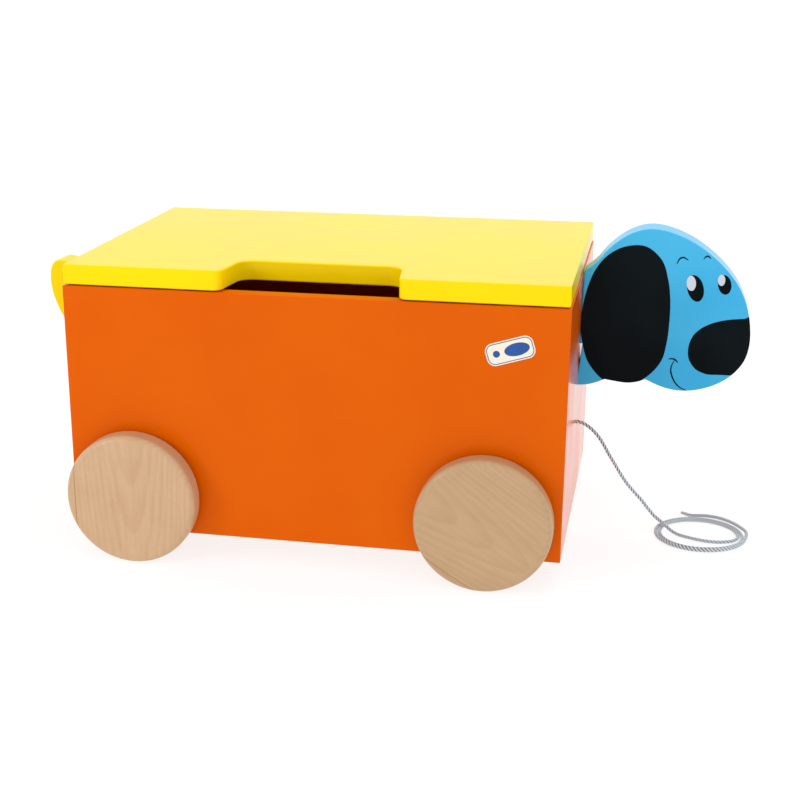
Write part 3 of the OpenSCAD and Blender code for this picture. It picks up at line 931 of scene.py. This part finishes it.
def rounded_outline(width, height, radius, steps=8):
    """Corners of a rounded rectangle around the middle, one after another."""
    points = []
    for i, (sx, sz) in enumerate(((1, 1), (-1, 1), (-1, -1), (1, -1))):
        for k in range(steps + 1):
            a = math.radians(90 * i + 90 * k / steps)
            points.append((sx * (width / 2 - radius) + radius * math.cos(a),
                           sz * (height / 2 - radius) + radius * math.sin(a)))
    return points


def ellipse(x, wide, high, steps):
    """Points of an upright ellipse on the label's middle line."""
    angles = (math.tau * i / steps for i in range(steps))
    return [(x + wide * math.cos(a), high * math.sin(a)) for a in angles]


def ink(name, outer_line, inner_line=None):
    """A film of ink on the label, with a hole where an inner line is given."""
    shape = bmesh.new()
    ring = [shape.verts.new((x, INK, z)) for x, z in outer_line]
    if inner_line:
        hole = [shape.verts.new((x, INK, z)) for x, z in inner_line]
        loops = [shape.edges.new(pair) for line in (ring, hole) for pair in zip(line, line[1:] + line[:1])]
        bmesh.ops.bridge_loops(shape, edges=loops)
    else:
        shape.faces.new(ring)
    lift(shape, list(shape.faces), -2 * INK)
    bmesh.ops.rotate(shape, verts=shape.verts, cent=(0, 0, 0), matrix=Matrix.Rotation(-LABEL_TILT, 3, "Y"))
    bmesh.ops.translate(shape, verts=shape.verts, vec=label_middle)
    make_piece(name, shape, "box", blue_ink, even=False)


border = [rounded_outline(LABEL_SIZE.x - 2 * edge, LABEL_SIZE.y - 2 * edge, LABEL_R - edge)
          for edge in BORDER]
ink("label_border", *border)
ink("label_oval", ellipse(x=6 * MM, wide=11 * MM, high=5.6 * MM, steps=48))
ink("label_dot", ellipse(x=-12 * MM, wide=DOT_R, high=DOT_R, steps=32))

# %% [markdown]
# ## Fittings and hidden wood
# The hinges, screws, axles, bushes, bumpers, dowels and the floor keep their CAD shape and only need
# their own material: bright zinc with fine scratches, white nylon, black rubber, and thin plywood.

# %% Metal, nylon and rubber
def zinc(name):
    """Zinc-plated steel: cool and bright, with cloudy spangle and fine scratches."""
    material, shader, place = start_finish(name, Metallic=1.0)
    spangle = place.node("TexVoronoi", {"feature": "F1"}, {"Vector": place, "Scale": 900})
    cloud = place.noise(220, 3, 0.6)
    scratch = place.stretched((1, 0.03, 1), turn=(0, 0, 0.6)).noise(2400).step(0.62, 0.72)
    colour = (cloud * 0.7 + spangle * 0.3).mix(rgb(178, 182, 186), rgb(214, 216, 216))
    connect(shader, colour, 0.24 + 0.22 * cloud + 0.15 * scratch, height=cloud * 0.5 - scratch * 0.5,
            depth=0.02 * MM, strength=0.5)
    return material


def soft_plastic(name, light, dark, gloss, level):
    """Moulded nylon or rubber: a fine matt skin with slightly cloudy colour."""
    material, shader, place = start_finish(name, Specular_IOR_Level=level)
    skin_grain = place.noise(1600, 3, 0.6)
    cloud = place.noise(120)
    connect(shader, (cloud * 0.8 + skin_grain * 0.2).mix(light, dark), gloss + 0.15 * skin_grain,
            height=skin_grain, depth=0.04 * MM, strength=0.5)
    return material


zinc_steel = zinc("zinc_steel")
white_nylon = soft_plastic("white_nylon", rgb(238, 238, 232), rgb(222, 222, 214), gloss=0.36, level=0.5)
bumper_rubber = soft_plastic("bumper_rubber", rgb(70, 70, 72), rgb(48, 48, 50), gloss=0.6, level=0.3)
NO_SEAM = -9.0
floor_wood = wood("floor_board", (0, 0, 0), math.radians(90), NO_SEAM, rgb(228, 200, 160),
                  rgb(206, 168, 120), pith=(0.05, -0.09), tilt=0.05)
dowel_wood = wood("dowel_wood", (0, 0, 0), 0.0, NO_SEAM, rgb(222, 190, 148), rgb(198, 154, 108))
print("finishes of the fittings", [m.name for m in (zinc_steel, white_nylon, bumper_rubber)])

# %% [markdown]
# The frame's record names the material slot of every node. A node's mesh is smoothed where its
# edges are soft, as the new pieces are, but the label's thin film stays flat.

# %% Give the CAD nodes their materials
finishes = {"zinc_steel": zinc_steel, "white_nylon": white_nylon, "bumper_rubber": bumper_rubber,
            "floor_board": floor_wood, "dowel_wood": dowel_wood, "label_film": label_film}
slots = {row["node"]: row["material_slot"] for row in frame["record"]["subparts"]}
for node, slot in slots.items():
    if slot in finishes:
        nodes[node].data.materials.clear()
        nodes[node].data.materials.append(finishes[slot])
        if node != "side_label":
            nodes[node].data.shade_smooth()
            nodes[node].data.set_sharp_from_angle(angle=SMOOTH_BELOW)
        print(node, "is of", slot)

# %% [markdown]
# ## Floor and light
# The floor is plain and pale. It gives a little light of its own, so that it stays as bright as the
# soft light around it. That light does most of the work. A small lamp at the left of the camera
# makes the long side a little lighter at its left end, and one high above lights the lid and the
# tops of the wheels a little.

# %% Floor and light
FLOOR_R = 40
FLOOR_GAP = 0.2 * MM


def pale_floor():
    """A large round floor, just under the wheels."""
    shape = bmesh.new()
    bmesh.ops.create_circle(shape, cap_ends=True, segments=96, radius=FLOOR_R)
    bmesh.ops.translate(shape, verts=shape.verts, vec=(0, 0, -FLOOR_GAP))
    mesh = bpy.data.meshes.new("floor")
    shape.to_mesh(mesh)
    shape.free()
    material, shader, place = start_finish("floor_paper", Specular_IOR_Level=0.0, Roughness=0.9,
                                           Emission_Color=(1, 1, 1, 1), Emission_Strength=0.8)
    connect(shader, place.noise(3).mix(rgb(134, 134, 134), rgb(140, 140, 140)))
    mesh.materials.append(material)
    floor = bpy.data.objects.new("floor", mesh)
    bpy.context.scene.collection.objects.link(floor)
    floor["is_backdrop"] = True


def soft_lamp(name, at, towards, size, watts):
    """A square soft lamp that looks at a point."""
    data = bpy.data.lights.new(name, "AREA")
    data.size = size
    data.energy = watts
    lamp = bpy.data.objects.new(name, data)
    bpy.context.scene.collection.objects.link(lamp)
    aim = (Vector(towards) - Vector(at)).to_track_quat("-Z", "Y")
    lamp.matrix_world = Matrix.Translation(at) @ aim.to_matrix().to_4x4()
    print(f"{name}: {watts} W, {size} m wide")


pale_floor()
soft_lamp("left_lamp", at=(-1.3, -1.3, 0.8), towards=(-0.1, 0, 0.1), size=0.45, watts=5)
soft_lamp("top_lamp", at=(0.6, 0.6, 2.2), towards=(0, 0, 0.1), size=0.7, watts=9)
world = bpy.data.worlds.new("studio")
bpy.context.scene.world = world
world.use_nodes = True
background = world.node_tree.nodes["Background"]
background.inputs["Color"].default_value = (1, 1, 1, 1)
background.inputs["Strength"].default_value = 1.0
bpy.context.scene.view_settings.view_transform = "Standard"

# %% [markdown]
# ## The size of the visual model
# The box around the visible pieces, without the floor, is printed.

# %% Print the visual box
low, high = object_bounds()
print("visual box", [round(x, 4) for x in (*low, *high)])
